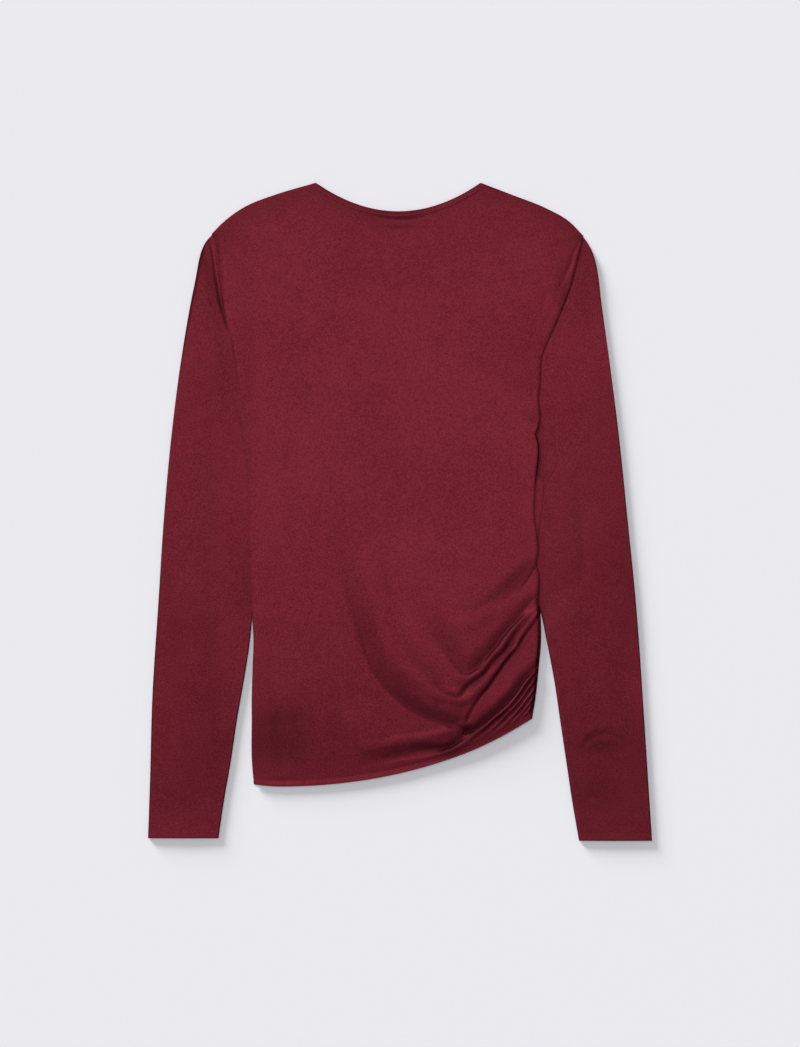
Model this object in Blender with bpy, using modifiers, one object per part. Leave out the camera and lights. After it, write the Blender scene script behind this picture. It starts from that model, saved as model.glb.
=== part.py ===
"""A long-sleeved jersey top, laid flat with its back up.

Every piece is one wall of cloth. X runs across the chest, Y from hem to neck and
Z up from the surface that the top lies on. Sizes here are in millimetres, and the
meshes are made in metres.
"""

from collections import namedtuple

import bmesh
import bpy
import numpy as np

MM = 0.001

# Driving dimensions
WALL = 1.0             # thickness of the jersey
SEAM_GAP = 0.3         # between two pieces where they are sewn together
ARMHOLE_GAP = 0.5      # between a sleeve's end and the body's armhole
TIP_GAP = 0.8          # more of it at the shoulder, where the sleeve ends in a point
TIP_REACH = 30.0       # height over which the tip draws away
NECK_CENTRE = -1.8     # middle of the neck opening, across
NECK_HALF = 83.9       # half the width of the neck opening
NECK_HEIGHT = 335.6    # the two points where neck and shoulder meet
BACK_NECK_DROP = 29.1  # depth of the back neckline
FRONT_NECK_DROP = 72.0 # depth of the front neckline, which lies underneath
EDGE_ROUND = 1.3       # radius of a sleeve's folded edge
SLEEVE_PUFF = 2.6      # how far a sleeve's upper layer rises over its edges
CUFF_PUFF = 0.8        # the same at the cuff
ARMHOLE_FLAT = 0.1     # share of the sleeve's length over which its rise begins
BODY_PUFF = 1.7        # how far the back rises over its edges
PUFF_REACH = 30.0      # distance from an edge to the full rise

# The body's sides from shoulder to hem. Down to the underarm they are the armholes,
# and the inner edge of each sleeve starts there.
Level = namedtuple("Level", "y left right front_right")
UNDERARM = 134.0
BODY_LEVELS = [
    Level(286.0, -193.0, 188.6, 188.6),
    Level(272.0, -188.0, 184.6, 184.6),
    Level(255.0, -184.0, 180.5, 180.5),
    Level(231.0, -181.0, 174.4, 174.4),
    Level(196.0, -176.4, 160.6, 160.6),
    Level(161.0, -168.6, 145.4, 145.4),
    Level(134.0, -165.2, 142.8, 142.8),
    Level(107.0, -164.0, 141.4, 141.4),
    Level(73.0, -159.1, 140.2, 140.2),
    Level(33.0, -155.0, 138.9, 143.4),
    Level(8.0, -154.2, 137.0, 144.4),
    Level(-22.0, -153.4, 138.4, 141.2),
    Level(-56.0, -152.2, 139.8, 139.6),
    Level(-98.0, -150.8, 142.2, 142.0),
    Level(-131.0, -148.9, 143.6, 142.8),
    Level(-158.0, -149.9, 141.4, 140.8),
    Level(-192.0, -151.0, 137.7, 137.4),
    Level(-210.2, -151.0, 134.6, 134.6),
]
LEFT_HEM_LEVELS = [(-253.0, -151.0), (-275.4, -148.9)]

# The sleeves from shoulder to cuff: outline on the outside, fold on the inside.
SleeveLevel = namedtuple("SleeveLevel", "y left right")
OUTER_LEVELS = [
    SleeveLevel(283.3, -193.3, 186.4),
    SleeveLevel(281.3, -195.0, 188.6),
    SleeveLevel(274.4, -199.9, 192.8),
    SleeveLevel(257.0, -206.2, 199.9),
    SleeveLevel(216.0, -214.2, 206.0),
    SleeveLevel(155.0, -224.4, 214.2),
    SleeveLevel(73.0, -234.6, 224.4),
    SleeveLevel(-8.0, -241.7, 232.6),
    SleeveLevel(-90.0, -246.8, 240.7),
    SleeveLevel(-192.0, -253.0, 247.9),
    SleeveLevel(-273.0, -255.0, 253.0),
    SleeveLevel(-335.6, -257.0, 257.0),
]
INNER_LEVELS = [
    SleeveLevel(134.0, -165.7, 143.3),
    SleeveLevel(107.0, -164.6, 142.2),
    SleeveLevel(73.0, -159.8, 141.6),
    SleeveLevel(33.0, -155.7, 144.8),
    SleeveLevel(8.0, -154.9, 145.2),
    SleeveLevel(-22.0, -154.1, 142.6),
    SleeveLevel(-56.0, -152.9, 140.9),
    SleeveLevel(-98.0, -151.6, 143.2),
    SleeveLevel(-131.0, -153.0, 149.4),
    SleeveLevel(-171.0, -159.1, 157.1),
    SleeveLevel(-212.0, -166.3, 163.2),
    SleeveLevel(-253.0, -172.4, 169.3),
    SleeveLevel(-294.0, -179.5, 175.4),
    SleeveLevel(-335.6, -185.6, 182.6),
]

# Shoulder lines from the neck outwards, and the hem from left to right.
SHOULDER_LEFT = [(-85.7, 335.6), (-127.5, 323.3), (-158.1, 311.1), (-180.0, 295.5),
                 (-192.0, 283.3)]
SHOULDER_RIGHT = [(82.1, 335.6), (114.2, 323.3), (149.0, 309.5), (172.0, 296.5), (187.0, 281.3)]
HEM = [(-148.9, -275.4), (-125.0, -279.6), (-64.3, -277.4), (-15.3, -269.3),
       (33.7, -257.0), (82.6, -238.7), (107.1, -226.4), (134.6, -210.2)]

# The folds of the back. A path runs from the gathered side seam inwards. Left and right
# are the half widths seen along the path, and rise is the height of the fold. Several
# values are spread evenly over the path.
Fold = namedtuple("Fold", "name path left right rise")
FOLDS = [
    Fold("high swag", [(139, -58), (134, -70), (119, -91), (102, -113), (93, -121), (80, -124),
                       (68, -120), (56, -114), (43, -98), (39, -84)],
         (12, 16), 14, (0.8, 1.0, 1.4, 1.6, 1.4, 0.4)),
    Fold("middle swag", [(142, -90), (127, -109), (105, -132), (92, -150), (80, -165),
                         (71, -168), (61, -166), (39, -148), (27, -129), (5, -99)],
         (8, 8, 9, 14, 16), (8, 8, 8, 12, 20), (1.8, 2.6, 3.6, 3.4, 2.2, 1.2, 0.4)),
    Fold("long swag", [(143, -99), (122, -129), (102, -154), (83, -179), (72, -190), (61, -193),
                       (49, -192), (27, -179), (2, -151), (-25, -107), (-34, -88)],
         (8, 8, 9, 16, 24, 26, 26), (8, 8, 9, 12, 22, 30),
         (2.4, 3.2, 3.8, 5.0, 5.4, 4.4, 2.6, 0.8)),
    Fold("seam panel", [(144, -121), (119, -149), (97, -174), (78, -199), (73, -206)],
         (15, 14, 13, 11), (14, 12, 11, 9), (2.8, 3.8, 4.4, 4.4, 3.4)),
    Fold("low ridge", [(141, -158), (126, -178), (110, -196), (88, -214), (72, -230),
                       (55, -240), (33, -246), (9, -249), (-6, -251)],
         (7, 8, 9, 10), 7, (2.2, 2.8, 3.2, 3.0, 2.0, 1.2, 0.3)),
    Fold("second gather", [(140, -168), (121, -195), (97, -220), (88, -229)], 6, 6,
         (2.0, 2.4, 2.0, 0.6)),
    Fold("third gather", [(139, -178), (127, -195), (105, -219)], 6, 6, (1.9, 2.0, 0.8)),
    Fold("fourth gather", [(138, -188), (127, -203), (116, -214)], 6, 6, (1.7, 1.7, 0.6)),
    Fold("last gather", [(137, -196), (126, -209)], 6, 6, (1.5, 0.8)),
    Fold("pleat ridge", [(-41, -223), (-9, -233), (27, -228), (58, -228)],
         (16, 13, 10, 8), 10, (0.2, 1.0, 1.6, 2.0, 2.0, 0.8)),
]

# The creases between the folds narrow towards the bottom, and depth is how deep they are.
Crease = namedtuple("Crease", "name path left right depth")
CREASES = [
    Crease("swag crease", [(64, -231), (27, -211), (2, -195), (-17, -173), (-34, -138),
                           (-50, -91), (-71, -29), (-74, 3)],
           (10, 14, 28, 34, 36, 34), (10, 14, 20, 22, 20, 18), (2.8, 4.0, 4.2, 3.6, 2.8, 1.6, 0.0)),
    Crease("belly crease", [(131, -90), (113, -116), (96, -138), (77, -160), (68, -165),
                            (58, -160), (36, -131), (14, -91)],
           (8, 8, 9, 10, 12), (9, 10, 14, 22, 24, 20), (1.6, 2.4, 3.2, 4.0, 3.4, 2.2, 1.2, 0.0)),
    Crease("long crease", [(122, -119), (105, -138), (88, -165), (77, -173), (55, -183),
                           (31, -170)],
           8, (8, 8, 9, 10), (1.0, 2.2, 2.6, 2.2, 1.6, 1.0, 0.0)),
    Crease("panel crease", [(143, -104), (129, -121), (111, -144), (96, -164), (80, -183),
                            (69, -204), (66, -214)],
           8, 8, (1.8, 2.4, 3.0, 3.4, 2.6)),
    Crease("deep crease", [(141, -149), (122, -173), (104, -195), (83, -215), (66, -230)],
           (8, 8, 9, 11), (9, 10, 11, 12), (2.0, 3.2, 4.2, 3.8, 1.4)),
    Crease("pleat crease", [(-38, -238), (-8, -247), (27, -242), (52, -237)],
           (14, 12, 10, 9), (14, 10, 9, 9), (0.6, 1.8, 2.4, 2.4, 1.2)),
    Crease("seam fall", [(133, -55), (119, -65), (105, -80), (91, -90)], 9, 14,
           (1.2, 1.8, 1.4, 0.0)),
]
CREASE_POWER = 1.4     # how sharply a crease falls to its bottom
CREASE_BOTTOM = 2.0    # distance over which its bottom is rounded

# The raised ground that the gathers stand on, as an ellipse, and how the gathers are
# held down by the side seam.
GATHER_CENTRE = (92.0, -168.0)
GATHER_REACH = (122.0, 122.0)
GATHER_RISE = 5.0
SEAM_SHARE = 0.4       # share of the height that is left at the seam
SEAM_REACH = 6.0       # distance from the seam to the full height
TOUCH_ROUND = 0.3      # how softly the back comes down on the front

# How finely each piece is divided. A panel's rows stop at the top of the gathers and
# at the underarm, and a sleeve's columns meet the armhole's rows.
GATHER_TOP = (-100.0, -48.0)  # on the left and on the right side
GATHER_STOP = 0.34            # share of the rows up to there
UNDERARM_STOP = 0.70          # share of the rows up to the underarm
COLUMN_STOP = 0.42            # share of the columns where the fine ones start
ARMHOLE_ROWS = 8
BACK_COLUMNS = (5, 3, 20, 18)
BACK_ROWS = (40, 10, ARMHOLE_ROWS)
FRONT_COLUMNS = (3, 2, 6, 4)
FRONT_ROWS = (6, 7, ARMHOLE_ROWS)
SLEEVE_ROWS = 22
PATH_SAMPLES = 80

# Colour and roughness of the jersey
JERSEY = {"back_panel": (0.155, 0.017, 0.026), "front_panel": (0.100, 0.012, 0.018),
          "sleeve_left": (0.145, 0.016, 0.025), "sleeve_right": (0.140, 0.015, 0.024)}
JERSEY_ROUGHNESS = 0.7


def smooth_curve(points):
    """Return a function of 0..1 along a smooth curve through the points."""
    points = np.array(points, float)
    steps = np.linalg.norm(np.diff(points, axis=0), axis=1)
    knots = np.concatenate([[0.0], np.cumsum(steps)]) / steps.sum()
    slopes = np.gradient(points, knots, axis=0)

    def curve(t):
        t = np.clip(np.asarray(t, float), 0.0, 1.0)
        low = np.clip(np.searchsorted(knots, t, side="right") - 1, 0, len(knots) - 2)
        span = knots[low + 1] - knots[low]
        f = ((t - knots[low]) / span)[..., None]
        span = span[..., None]
        start, end = points[low], points[low + 1]
        return ((2 * f**3 - 3 * f**2 + 1) * start + (f**3 - 2 * f**2 + f) * span * slopes[low]
                + (3 * f**2 - 2 * f**3) * end + (f**3 - f**2) * span * slopes[low + 1])

    return curve


def by_height(levels, stops):
    """Return a curve through rows of (y, x). Stops are (share, y), from bottom to top."""
    curve = smooth_curve([(x, y) for y, x in levels])
    fine = curve(np.linspace(0.0, 1.0, 400))
    stop_shares, stop_heights = np.array(stops).T

    def at(share):
        y = np.interp(share, stop_shares, stop_heights)
        x = np.interp(-y, -fine[:, 1], fine[:, 0])
        return np.stack([x, y], axis=-1)

    return at


def coons(bottom, top, left, right, u, v):
    """Fill four edge curves: u runs from left to right, v from bottom to top."""
    uu, vv = np.meshgrid(u, v, indexing="ij")
    low, high = bottom(u)[:, None, :], top(u)[:, None, :]
    near, far = left(v)[None, :, :], right(v)[None, :, :]
    uu, vv = uu[..., None], vv[..., None]
    corners = ((1 - uu) * ((1 - vv) * left(0.0) + vv * left(1.0))
               + uu * ((1 - vv) * right(0.0) + vv * right(1.0)))
    return (1 - vv) * low + vv * high + (1 - uu) * near + uu * far - corners


def shares(stops, counts):
    """Return 0..1 values with the given number of even steps between the stops."""
    parts = [np.linspace(a, b, n, endpoint=False) for a, b, n in zip(stops, stops[1:], counts)]
    return np.append(np.concatenate(parts), stops[-1])


def top_edge(neck_drop):
    """Return the shoulder, neck and shoulder line as a function of the share across."""
    left_end, right_end = SHOULDER_LEFT[-1][0], SHOULDER_RIGHT[-1][0]
    fine = np.linspace(0.0, 1.0, 200)
    left = smooth_curve(SHOULDER_LEFT)(fine)[::-1]
    right = smooth_curve(SHOULDER_RIGHT)(fine)

    def at(share):
        x = left_end + (right_end - left_end) * np.asarray(share, float)
        across = np.clip(np.abs(x - NECK_CENTRE) / NECK_HALF, 0.0, 1.0)
        y = NECK_HEIGHT - neck_drop * (1.0 - across**2)
        y = np.where(x < left[-1, 0], np.interp(x, left[:, 0], left[:, 1]), y)
        y = np.where(x > right[0, 0], np.interp(x, right[:, 0], right[:, 1]), y)
        return np.stack([x, y], axis=-1)

    return at


def hem_edge(share):
    """Return the hem as a function of the share across."""
    fine = smooth_curve(HEM)(np.linspace(0.0, 1.0, 300))
    x = HEM[0][0] + (HEM[-1][0] - HEM[0][0]) * np.asarray(share, float)
    return np.stack([x, np.interp(x, fine[:, 0], fine[:, 1])], axis=-1)


def smoothstep(value):
    """Rise from 0 to 1 with level ends."""
    value = np.clip(value, 0.0, 1.0)
    return value * value * (3.0 - 2.0 * value)


def along_path(values, share):
    """Read values that are spread evenly over a path."""
    values = np.atleast_1d(np.array(values, float))
    return np.interp(share, np.linspace(0.0, 1.0, len(values)), values)


def path_distance(x, y, points):
    """Return each point's distance from a path, the share along it, and its side."""
    shares_along = np.linspace(0.0, 1.0, PATH_SAMPLES)
    path = smooth_curve(points)(shares_along)
    along = np.gradient(path, axis=0)
    along = along / np.linalg.norm(along, axis=1)[:, None]
    dx = x[..., None] - path[:, 0]
    dy = y[..., None] - path[:, 1]
    nearest = np.hypot(dx, dy).argmin(axis=-1)
    dx, dy = [np.take_along_axis(gap, nearest[..., None], -1)[..., 0] for gap in (dx, dy)]
    ahead = along[nearest, 0] * dx + along[nearest, 1] * dy
    aside = along[nearest, 0] * dy - along[nearest, 1] * dx
    beyond = ((nearest == 0) & (ahead < 0.0)) | ((nearest == PATH_SAMPLES - 1) & (ahead > 0.0))
    step = np.linalg.norm(np.diff(path, axis=0), axis=1).mean()
    share = np.clip(shares_along[nearest] + ahead / step / (PATH_SAMPLES - 1), 0.0, 1.0)
    return np.hypot(aside, np.where(beyond, ahead, 0.0)), share, aside > 0.0


def fold_height(x, y, fold):
    """Return the height that one fold adds at each point."""
    distance, share, on_left = path_distance(x, y, fold.path)
    width = np.where(on_left, along_path(fold.left, share), along_path(fold.right, share))
    bump = np.cos(0.5 * np.pi * np.clip(distance / width, 0.0, 1.0)) ** 2
    return along_path(fold.rise, share) * bump


def crease_depth(x, y, crease):
    """Return the depth that one crease takes away at each point."""
    distance, share, on_left = path_distance(x, y, crease.path)
    width = np.where(on_left, along_path(crease.left, share), along_path(crease.right, share))
    reach = np.hypot(distance, CREASE_BOTTOM) / width
    return along_path(crease.depth, share) * np.clip(1.0 - reach, 0.0, 1.0) ** CREASE_POWER


def rounded(heights):
    """Round the folds off over the neighbouring grid points."""
    for axis in (0, 1):
        first, last = [np.take(heights, [end], axis) for end in (0, -1)]
        padded = np.concatenate([first, heights, last], axis)
        before, here, after = [np.take(padded, np.arange(heights.shape[axis]) + step, axis)
                               for step in (0, 1, 2)]
        heights = 0.25 * before + 0.5 * here + 0.25 * after
    return heights


def back_underside(points):
    """Return the height of the back's lower face at each point."""
    x, y = points[..., 0], points[..., 1]
    reach = np.hypot((x - GATHER_CENTRE[0]) / GATHER_REACH[0],
                     (y - GATHER_CENTRE[1]) / GATHER_REACH[1])
    gathers = GATHER_RISE * smoothstep(1.5 * (1.0 - reach))
    for fold in FOLDS:
        gathers = gathers + fold_height(x, y, fold)
    for crease in CREASES:
        gathers = gathers - crease_depth(x, y, crease)
    gathers = rounded(gathers)
    seam = np.hypot(x - points[-1:, :, 0], y - points[-1:, :, 1])
    gathers = gathers * (SEAM_SHARE + (1.0 - SEAM_SHARE) * smoothstep(seam / SEAM_REACH))
    rise = gathers + BODY_PUFF * smoothstep(edge_distance(points) / PUFF_REACH)
    return WALL + SEAM_GAP + 0.5 * (rise + np.hypot(rise, TOUCH_ROUND))


def front_underside(points):
    """Return the height of the front's lower face, which lies flat on the surface."""
    return np.zeros(points.shape[:2])


def edge_distance(points):
    """Return the distance of each grid point from the grid's own rim."""
    rim = np.concatenate([points[0], points[-1], points[:, 0], points[:, -1]])
    gaps = points[:, :, None, :] - rim[None, None, :, :]
    return np.hypot(gaps[..., 0], gaps[..., 1]).min(axis=-1)


def cloth_object(name, vertices, faces, offset):
    """Make an open sheet of cloth, and give it the thickness of the wall."""
    mesh = bpy.data.meshes.new(name)
    mesh.from_pydata([tuple(MM * c for c in v) for v in vertices], [], faces)
    shape = bmesh.new()
    shape.from_mesh(mesh)
    bmesh.ops.recalc_face_normals(shape, faces=shape.faces)
    shape.to_mesh(mesh)
    shape.free()
    mesh.shade_smooth()
    cloth = bpy.data.objects.new(name, mesh)
    bpy.data.collections["jersey_top"].objects.link(cloth)
    wall = cloth.modifiers.new("wall", "SOLIDIFY")
    wall.thickness = WALL * MM
    wall.offset = offset
    wall.use_even_offset = True
    mesh.materials.append(jersey(name))
    return cloth


def jersey(name):
    """Make the plain knit material of one piece."""
    material = bpy.data.materials.new(name + "_jersey")
    material.use_nodes = True
    shader = material.node_tree.nodes["Principled BSDF"]
    shader.inputs["Base Color"].default_value = (*JERSEY[name], 1.0)
    shader.inputs["Roughness"].default_value = JERSEY_ROUGHNESS
    shader.inputs["Metallic"].default_value = 0.0
    return material


def panel(name, neck_drop, right_column, columns, rows, underside):
    """Make one body panel from its four edges, with the given height of its lower face."""
    neck_left = (SHOULDER_LEFT[0][0] - SHOULDER_LEFT[-1][0])
    neck_right = (SHOULDER_RIGHT[0][0] - SHOULDER_LEFT[-1][0])
    width = SHOULDER_RIGHT[-1][0] - SHOULDER_LEFT[-1][0]
    u = shares([0.0, neck_left / width, COLUMN_STOP, neck_right / width, 1.0], columns)
    v = shares([0.0, GATHER_STOP, UNDERARM_STOP, 1.0], rows)
    left_rows = [(row.y, row.left) for row in BODY_LEVELS] + LEFT_HEM_LEVELS
    right_rows = [(row.y, getattr(row, right_column)) for row in BODY_LEVELS]
    left, right = [by_height(levels, [(0.0, levels[-1][0]), (GATHER_STOP, gather_top),
                                      (UNDERARM_STOP, UNDERARM), (1.0, shoulder[-1][1])])
                   for levels, gather_top, shoulder in
                   zip((left_rows, right_rows), GATHER_TOP, (SHOULDER_LEFT, SHOULDER_RIGHT))]
    points = coons(hem_edge, top_edge(neck_drop), left, right, u, v)
    heights = underside(points)
    vertices = [(*points[i, j], heights[i, j]) for i in range(len(u)) for j in range(len(v))]
    n = len(v)
    faces = [(i * n + j, (i + 1) * n + j, (i + 1) * n + j + 1, i * n + j + 1)
             for i in range(len(u) - 1) for j in range(n - 1)]
    cloth = cloth_object(name, vertices, faces, 1.0)
    face_up(cloth)
    return cloth


def face_up(cloth):
    """Turn a sheet's faces to +Z, so that its wall grows upwards."""
    shape = bmesh.new()
    shape.from_mesh(cloth.data)
    shape.normal_update()
    if sum(face.normal.z for face in shape.faces) < 0.0:
        bmesh.ops.reverse_faces(shape, faces=shape.faces)
    shape.to_mesh(cloth.data)
    shape.free()


def sleeve(name, column):
    """Make one sleeve as a flattened tube, open at the armhole and the cuff."""
    sign = -1.0 if column == "left" else 1.0
    shoulder_y = (SHOULDER_LEFT if column == "left" else SHOULDER_RIGHT)[-1][1]
    cuff_y = OUTER_LEVELS[-1].y
    gaps = [ARMHOLE_GAP + TIP_GAP * max(0.0, 1.0 - (shoulder_y - row.y) / TIP_REACH)
            for row in BODY_LEVELS]
    armhole = by_height([(row.y, getattr(row, column) + sign * gap)
                         for row, gap in zip(BODY_LEVELS, gaps)],
                        [(0.0, UNDERARM), (1.0, shoulder_y)])
    outer = by_height([(row.y, getattr(row, column)) for row in OUTER_LEVELS],
                      [(0.0, cuff_y), (1.0, shoulder_y)])
    inner = by_height([(row.y, getattr(row, column)) for row in INNER_LEVELS],
                      [(0.0, cuff_y), (1.0, UNDERARM)])
    cuff_in, cuff_out = inner(0.0)[0], outer(0.0)[0]

    def cuff(share):
        x = cuff_in + (cuff_out - cuff_in) * np.asarray(share, float)
        return np.stack([x, np.full_like(x, cuff_y)], axis=-1)

    v = np.linspace(0.0, 1.0, SLEEVE_ROWS + 1)
    even = np.linspace(0.0, 1.0, ARMHOLE_ROWS + 1)
    widths = np.linalg.norm(np.diff(coons(cuff, armhole, inner, outer, even, v), axis=0), axis=-1)
    inset = EDGE_ROUND / widths.sum(axis=0)
    vertices = []
    length_puff = CUFF_PUFF + (SLEEVE_PUFF - CUFF_PUFF) * smoothstep(4.0 * v)
    length_puff = length_puff * smoothstep((1.0 - v) / ARMHOLE_FLAT)
    for row, share in enumerate(v):
        across = np.concatenate([[inset[row]], even[1:-1], [1.0 - inset[row]]])
        ring = np.concatenate([across, [1.0], across[::-1], [0.0]])
        spots = coons(cuff, armhole, inner, outer, ring, np.array([share]))[:, 0]
        top = 2.0 * EDGE_ROUND + length_puff[row] * np.sin(np.pi * across) ** 0.8
        heights = np.concatenate([np.zeros_like(across), [EDGE_ROUND], top[::-1], [EDGE_ROUND]])
        vertices += [(spot[0], spot[1], z) for spot, z in zip(spots, heights)]
    n = len(ring)
    faces = [(r * n + k, r * n + (k + 1) % n, (r + 1) * n + (k + 1) % n, (r + 1) * n + k)
             for r in range(SLEEVE_ROWS) for k in range(n)]
    return cloth_object(name, vertices, faces, -1.0)


def main():
    for old in list(bpy.data.objects):
        bpy.data.objects.remove(old, do_unlink=True)
    top = bpy.data.collections.new("jersey_top")
    bpy.context.scene.collection.children.link(top)
    panel("back_panel", BACK_NECK_DROP, "right", BACK_COLUMNS, BACK_ROWS, back_underside)
    panel("front_panel", FRONT_NECK_DROP, "front_right", FRONT_COLUMNS, FRONT_ROWS,
          front_underside)
    sleeve("sleeve_left", "left")
    sleeve("sleeve_right", "right")


main()
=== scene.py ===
import math
from collections import namedtuple

import bpy
import numpy as np
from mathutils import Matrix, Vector
from mathutils.kdtree import KDTree


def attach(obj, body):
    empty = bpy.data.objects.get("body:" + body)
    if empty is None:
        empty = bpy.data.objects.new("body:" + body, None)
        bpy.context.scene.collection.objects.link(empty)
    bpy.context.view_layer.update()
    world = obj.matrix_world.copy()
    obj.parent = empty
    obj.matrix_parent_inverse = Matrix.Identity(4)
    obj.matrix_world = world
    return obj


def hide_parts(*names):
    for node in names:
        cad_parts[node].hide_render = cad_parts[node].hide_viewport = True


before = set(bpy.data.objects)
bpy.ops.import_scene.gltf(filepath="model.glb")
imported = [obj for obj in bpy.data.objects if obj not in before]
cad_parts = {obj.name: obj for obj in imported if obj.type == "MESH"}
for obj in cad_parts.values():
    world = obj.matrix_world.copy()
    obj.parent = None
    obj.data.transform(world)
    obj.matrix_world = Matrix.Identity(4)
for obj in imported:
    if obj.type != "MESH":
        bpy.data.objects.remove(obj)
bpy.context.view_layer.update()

mm = 0.001

# The cut, as it lies: body sides from shoulder to hem, with the armholes down to the underarm.
# The body lies over the sleeves down to sleeveFreeY, with the sleeve tucked under its edge.
cut = {
    "underarmY": 134.0, "cuffY": {"left": -332.3, "right": -334.9}, "sleeveFreeY": -98.0,
    "neckCentre": -1.8, "neckHalf": 83.9, "neckY": 335.6,
    "backDrop": 29.1, "frontDrop": 72.0, "tuck": 0.9, "frontInset": 1.4, "peekTuck": 0.8,
}
BodyRow = namedtuple("BodyRow", "y left right")
bodyRows = [BodyRow(*row) for row in (
    (286.0, -193.0, 188.0), (278.0, -189.6, 186.2), (271.0, -187.4, 184.6), (259.0, -184.6, 181.6),
    (245.0, -182.8, 178.0), (231.0, -181.0, 174.4), (218.0, -180.0, 169.6), (201.0, -177.6, 162.6),
    (188.0, -174.8, 157.0), (177.5, -171.2, 152.2), (168.0, -169.4, 147.9), (156.0, -168.0, 143.9),
    (143.8, -166.2, 143.2), (131.6, -165.0, 142.8), (115.3, -164.4, 140.8), (105.1, -164.0, 142.2),
    (96.9, -163.2, 143.0), (86.7, -161.4, 141.4), (78.9, -159.9, 138.7), (72.4, -159.0, 140.8),
    (64.3, -158.2, 141.8), (52.0, -156.8, 141.2), (40.8, -155.6, 139.7), (33.7, -155.0, 138.7),
    (17.3, -154.5, 137.3), (7.1, -154.2, 136.7), (-5.1, -153.9, 136.9), (-17.3, -153.6, 138.7),
    (-29.6, -153.2, 140.1), (-35.7, -153.0, 141.2), (-43.9, -152.6, 140.3), (-54.1, -152.3, 138.9),
    (-60.2, -152.0, 141.0), (-70.4, -151.7, 142.0), (-82.6, -151.3, 141.4), (-90.8, -151.0, 140.6),
    (-98.0, -150.8, 142.2), (-108.0, -150.2, 143.2), (-131.0, -148.9, 143.6),
    (-158.0, -149.9, 141.4), (-192.0, -151.0, 137.7), (-210.2, -151.0, 134.6),
)]
leftHemRows = [(-253.0, -151.0), (-277.4, -148.9)]
peekRows = [(40.8, 138.6), (30.6, 145.2), (17.3, 145.4), (-3.1, 143.6), (-15.3, 141.8),
            (-30.0, 139.2)]                            # the front edge that shows, as (y, x)
shoulderLeft = [(-85.7, 335.6), (-127.5, 323.3), (-158.1, 311.1), (-180.0, 295.5), (-192.0, 283.3)]
shoulderRight = [(82.1, 335.6), (114.2, 323.3), (149.0, 309.5), (172.0, 296.5), (187.0, 281.3)]
hemLine = [(-148.9, -277.4), (-130.0, -279.3), (-104.0, -279.2), (-64.3, -276.6), (-15.3, -269.3),
           (33.7, -257.0), (82.6, -238.7), (107.1, -226.4), (134.6, -210.2)]
SleeveRow = namedtuple("SleeveRow", "y left right")
outerRows = [SleeveRow(*row) for row in (
    (286.0, -189.4, 182.6), (281.3, -194.6, 187.2), (274.4, -200.2, 192.4), (267.0, -203.6, 196.4),
    (257.0, -206.4, 199.9), (240.0, -209.4, 203.2), (216.0, -214.2, 206.0), (155.0, -224.4, 214.2),
    (73.0, -234.6, 224.4), (-8.0, -241.7, 232.6), (-90.0, -246.8, 240.7), (-192.0, -253.0, 247.9),
    (-273.0, -255.0, 253.0), (-335.6, -257.0, 257.0),
)]
innerRows = [SleeveRow(*row) for row in (
    (-104.0, -150.6, 143.8), (-131.0, -153.0, 149.4), (-171.0, -159.1, 157.1),
    (-212.0, -166.3, 163.2), (-253.0, -172.4, 169.3), (-294.0, -179.5, 175.4),
    (-335.6, -185.6, 182.6),
)]

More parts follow.
